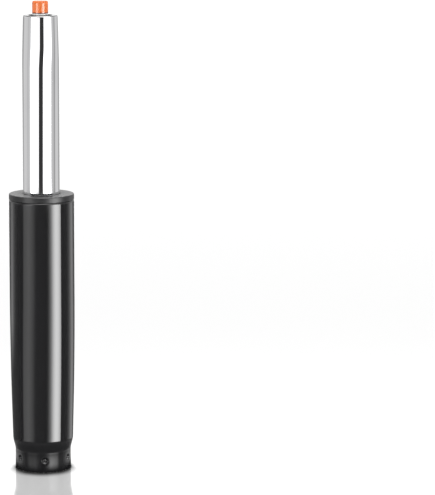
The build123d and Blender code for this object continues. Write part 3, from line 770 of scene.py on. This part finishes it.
# Brightness of the room round the object, as (degrees from the front, level), with right positive
LOW_CARDS = (
    (-180, 6.0),
    (-176, 0.06),
    (-154, 0.08),
    (-142, 0.6),
    (-131, 1.1),
    (-111, 0.33),
    (-99, 0.12),
    (-74, 0.05),
    (-71, 0.05),
    (-69.5, 1.0),
    (-62, 1.3),
    (-47, 1.7),
    (-34, 1.1),
    (-21, 0.13),
    (18, 0.05),
    (24, 0.8),
    (32, 3.4),
    (43, 11.8),
    (51, 15.2),
    (60, 13.6),
    (70.6, 7.4),
    (71.2, 0.05),
    (99, 0.12),
    (111, 0.6),
    (125, 1.36),
    (133, 1.4),
    (142, 0.62),
    (154, 0.1),
    (176, 0.06),
)
HIGH_CARDS = (
    (-180, 1.5),
    (-172, 0.4),
    (-146, 0.4),
    (-130, 0.78),
    (-98, 0.74),
    (-92, 0.62),
    (-72, 0.76),
    (-70, 1.6),
    (-50, 13.0),
    (-32, 1.6),
    (-13, 1.6),
    (-12.4, 0.045),
    (13, 0.045),
    (13.8, 1.6),
    (22, 4.0),
    (43, 17.0),
    (62, 4.0),
    (67, 1.6),
    (69, 0.74),
    (90, 0.6),
    (94, 0.38),
    (98, 0.38),
    (103, 0.76),
    (130, 0.78),
    (146, 0.4),
    (172, 0.4),
)
CARD_PEAK = 17.0
GREY_BAND_LEVEL = 0.5
ZENITH_LEVEL = 9.0

# The low and high cards lean, so that their stripes stand upright on the tubes that mirror them.
# At the elevations LOW_UPRIGHT and HIGH_UPRIGHT, in degrees, they stand where they are listed.
# The high cards all turn at the rate HIGH_LEAN. The rate of the low cards falls to none at
# LOW_PIVOT, a share of a full turn counted from the back.
LOW_LEAN, LOW_PIVOT, LOW_UPRIGHT = 4.3, 0.707, -9.67
HIGH_LEAN, HIGH_UPRIGHT = 2.0, -6.09

# The lowest cards are the low ones, dimmed behind on the left
FOOT_CARDS = tuple((turn, min(level, 0.15) if -154 < turn < -90 else level) for turn, level in LOW_CARDS)

# The floor mirrors the sky cards far off and the floor cards near the foot, and rounded rims mirror
# the top cards
SKY_CARDS = ((-180, 1.0), (-76, 1.0), (-70, 0.05), (70, 0.05), (76, 1.0))
TOP_CARDS = ((-180, 9.0), (-140, 9.0), (-110, 1.8), (-75, 2.5), (-45, 9.0))
FLOOR_CARDS = (
    (-180, 1.6),
    (-174, 1.6),
    (-168, 0.53),
    (-140, 0.87),
    (-112, 1.07),
    (-92, 0.47),
    (-75, 0.1),
    (-60, 0.97),
    (-46, 1.13),
    (-33, 1.1),
    (-20, 0.37),
    (-6, 0.07),
    (6, 0.1),
    (17, 1.33),
    (30, 5.13),
    (43, 4.6),
    (57, 3.27),
    (70, 0.33),
    (88, 0.3),
    (108, 1.0),
    (133, 1.2),
    (163, 0.53),
    (168, 1.6),
)


def card_ramp(tree, azimuth, levels):
    """Look up the cards' level for a direction round the object."""
    ramp = tree.nodes.new("ShaderNodeValToRGB")
    elements = ramp.color_ramp.elements
    for index, (degrees_round, level) in enumerate(levels):
        share = degrees_round / 360 + 0.5
        stop = elements[0] if index == 0 else elements.new(share)
        stop.position = share
        stop.color = (*[level / CARD_PEAK] * 3, 1.0)
    last = elements[len(elements) - 1]
    last.position, last.color = 1.0, elements[0].color
    tree.links.new(azimuth, ramp.inputs["Fac"])
    return math_node(tree, "MULTIPLY", ramp.outputs["Color"], CARD_PEAK)


def leaning(tree, azimuth, rise, lean, upright_degrees):
    """Turn the cards aside, in step with how far the direction is below the upright elevation."""
    away = math_node(tree, "SUBTRACT", sin(radians(upright_degrees)), rise)
    turned = math_node(tree, "MULTIPLY", away, lean)
    return math_node(tree, "ADD", azimuth, math_node(tree, "DIVIDE", turned, FULL_TURN))


def build_room():
    """World light: even white for soft light, white to the camera, cards for gloss."""
    world = bpy.data.worlds.new("studio_room")
    bpy.context.scene.world = world
    world.use_nodes = True
    tree = world.node_tree
    tree.nodes.clear()
    direction = tree.nodes.new("ShaderNodeTexCoord").outputs["Generated"]
    parts = tree.nodes.new("ShaderNodeSeparateXYZ")
    tree.links.new(direction, parts.inputs[0])
    x, y, z = parts.outputs
    turn = math_node(tree, "ARCTAN2", x, math_node(tree, "MULTIPLY", y, -1.0))
    azimuth = math_node(tree, "ADD", math_node(tree, "DIVIDE", turn, FULL_TURN), 0.5)
    low_lean = math_node(tree, "MULTIPLY", math_node(tree, "SUBTRACT", LOW_PIVOT, azimuth), LOW_LEAN)
    low_azimuth = leaning(tree, azimuth, z, low_lean, LOW_UPRIGHT)
    high_azimuth = leaning(tree, azimuth, z, HIGH_LEAN, HIGH_UPRIGHT)

    # From the lowest cards up, each next level takes over between two elevations in degrees
    level = card_ramp(tree, low_azimuth, FOOT_CARDS)
    for next_level, low_degrees, high_degrees in (
        (card_ramp(tree, low_azimuth, LOW_CARDS), -13.0, -10.8),
        (card_ramp(tree, high_azimuth, HIGH_CARDS), -8.19, -8.13),
        (card_ramp(tree, azimuth, SKY_CARDS), 1.0, 3.0),
        (card_ramp(tree, azimuth, FLOOR_CARDS), 12.2, 12.8),
        (GREY_BAND_LEVEL, 20.0, 24.0),
        (card_ramp(tree, azimuth, TOP_CARDS), 42.0, 58.0),
        (ZENITH_LEVEL, 72.0, 80.0),
    ):
        share = range_node(tree, z, sin(radians(low_degrees)), sin(radians(high_degrees)))
        kept = math_node(tree, "MULTIPLY", level, math_node(tree, "SUBTRACT", 1.0, share))
        level = math_node(tree, "ADD", kept, math_node(tree, "MULTIPLY", next_level, share))

    path = tree.nodes.new("ShaderNodeLightPath").outputs
    seen = math_node(tree, "ADD", path["Is Camera Ray"], path["Is Transmission Ray"], clamp=True)
    glossy = path["Is Glossy Ray"]
    strength = math_node(tree, "MULTIPLY", level, glossy)
    strength = math_node(tree, "ADD", strength, seen)
    plain = math_node(tree, "SUBTRACT", math_node(tree, "SUBTRACT", 1.0, seen), glossy, clamp=True)
    strength = math_node(tree, "ADD", strength, math_node(tree, "MULTIPLY", plain, ROOM_LIGHT))
    background = tree.nodes.new("ShaderNodeBackground")
    background.inputs["Color"].default_value = (1.0, 1.0, 1.0, 1.0)
    tree.links.new(strength, background.inputs["Strength"])
    output = tree.nodes.new("ShaderNodeOutputWorld")
    tree.links.new(background.outputs[0], output.inputs["Surface"])


def stage_material(name, surface_type):
    """Start a material of the stage and return it with its nodes and its surface shader."""
    material = bpy.data.materials.new(name)
    material.use_nodes = True
    tree = material.node_tree
    tree.nodes.clear()
    return material, tree, tree.nodes.new(surface_type)


def clear_away(tree, surface, share):
    """Make a surface transparent where the share is high, and give it to the material."""
    clear = tree.nodes.new("ShaderNodeBsdfTransparent")
    mix = tree.nodes.new("ShaderNodeMixShader")
    tree.links.new(share, mix.inputs["Fac"])
    tree.links.new(surface.outputs[0], mix.inputs[1])
    tree.links.new(clear.outputs[0], mix.inputs[2])
    output = tree.nodes.new("ShaderNodeOutputMaterial")
    tree.links.new(mix.outputs[0], output.inputs["Surface"])


def floor_material():
    """Pale polished floor that clips to white for the camera, keeps shadows, and is clear from below."""
    material, tree, surface = stage_material("pale_floor", "ShaderNodeBsdfPrincipled")
    surface.inputs["Roughness"].default_value = 0.1
    surface.inputs["IOR"].default_value = 2.6
    surface.inputs["Emission Color"].default_value = (1.0, 1.0, 1.0, 1.0)
    # Painted shadow round the foot, reaching further in front: there the floor turns dark, mirrors less
    # and does not glow for the camera
    _, (x, y, _) = place_coordinates(tree)
    radius = radius_node(tree, x, y)
    ahead = math_node(tree, "DIVIDE", math_node(tree, "MULTIPLY", y, -1.0), radius, clamp=True)
    spread = math_node(tree, "MULTIPLY", ahead, FRONT_PAINTED_SHADOW - SIDE_PAINTED_SHADOW)
    spread = math_node(tree, "ADD", spread, SIDE_PAINTED_SHADOW)
    beyond = math_node(tree, "SUBTRACT", radius, neck_radius)
    outside_painted_shadow = range_node(tree, math_node(tree, "DIVIDE", beyond, spread), 0.0, 1.0)
    shade = tree.nodes.new("ShaderNodeMix")
    shade.data_type = "RGBA"
    dark, pale = [socket for socket in shade.inputs if socket.type == "RGBA"]
    dark.default_value = (0.05, 0.05, 0.05, 1.0)
    pale.default_value = (0.34, 0.34, 0.34, 1.0)
    tree.links.new(outside_painted_shadow, shade.inputs["Factor"])
    tree.links.new(shade.outputs["Result"], surface.inputs["Base Color"])
    tree.links.new(math_node(tree, "MULTIPLY", outside_painted_shadow, 0.5), surface.inputs["Specular IOR Level"])
    path = tree.nodes.new("ShaderNodeLightPath").outputs
    glow = math_node(tree, "MULTIPLY", path["Is Camera Ray"], FLOOR_CAMERA_GLOW)
    tree.links.new(math_node(tree, "MULTIPLY", glow, outside_painted_shadow), surface.inputs["Emission Strength"])
    clear_away(tree, surface, tree.nodes.new("ShaderNodeNewGeometry").outputs["Backfacing"])
    return material


def gloss_disc_material():
    """Polished patch round the foot, which only the object mirrors, and the camera never sees."""
    material, tree, gloss = stage_material("floor_gloss", "ShaderNodeBsdfGlossy")
    gloss.inputs["Roughness"].default_value = 0.05
    _, (x, y, _) = place_coordinates(tree)
    radius = radius_node(tree, x, y)
    # Painted shade: inside SHINE_START the patch mirrors nothing, so the neck's reflection darkens near
    # the foot
    grown = range_node(tree, radius, SHINE_START, SHINE_FULL, 0.0, SHINE_LEVEL)
    left = range_node(tree, radius, SHINE_THINNING, GLOSS_DISC_RADIUS, 1.0, 0.0)
    tree.links.new(math_node(tree, "MULTIPLY", grown, left), gloss.inputs["Color"])
    clear_away(tree, gloss, range_node(tree, radius, PATCH_CLEARING, PATCH_CLEAR))
    return material


def flat_stage(name, corners, material):
    """Make a flat stage surface from its corner points."""
    mesh = bpy.data.meshes.new(name)
    mesh.from_pydata(corners, [], [range(len(corners))])
    mesh.materials.append(material)
    surface = bpy.data.objects.new(name, mesh)
    bpy.context.scene.collection.objects.link(surface)
    return surface


build_room()
reach = FLOOR_SIZE / 2
floor_corners = [(-reach, -reach, 0), (reach, -reach, 0), (reach, reach, 0), (-reach, reach, 0)]
floor = flat_stage("floor", floor_corners, floor_material())
floor.visible_glossy = False
disc_corners = [
    (GLOSS_DISC_RADIUS * cos(radians(turn)), GLOSS_DISC_RADIUS * sin(radians(turn)), -PATCH_DEPTH)
    for turn in range(0, 360, 10)
]
gloss_disc = flat_stage("gloss_disc", disc_corners, gloss_disc_material())
gloss_disc.visible_camera = False
gloss_disc.visible_diffuse = False
gloss_disc.visible_transmission = False
gloss_disc.visible_shadow = False

# Camera: a long lens from a little above, turned slightly to the right
CAMERA_DISTANCE = 2.0
CAMERA_HEIGHT = 0.5
CAMERA_LENS = 190.74
CAMERA_YAW = radians(3.8824)
CAMERA_PITCH = radians(9.2806)
CAMERA_ROLL = radians(0.2186)

lens = bpy.data.cameras.new("camera")
lens.lens = CAMERA_LENS
lens.sensor_width = 36.0
camera = bpy.data.objects.new("camera", lens)
camera.location = (0, -CAMERA_DISTANCE, CAMERA_HEIGHT)
turn_right = Matrix.Rotation(-CAMERA_YAW, 3, "Z")
tip_down = Matrix.Rotation(pi / 2 - CAMERA_PITCH, 3, "X")
camera.rotation_euler = (turn_right @ tip_down @ Matrix.Rotation(CAMERA_ROLL, 3, "Z")).to_euler()
bpy.context.scene.collection.objects.link(camera)
bpy.context.scene.camera = camera
bpy.context.scene.view_settings.view_transform = "Standard"
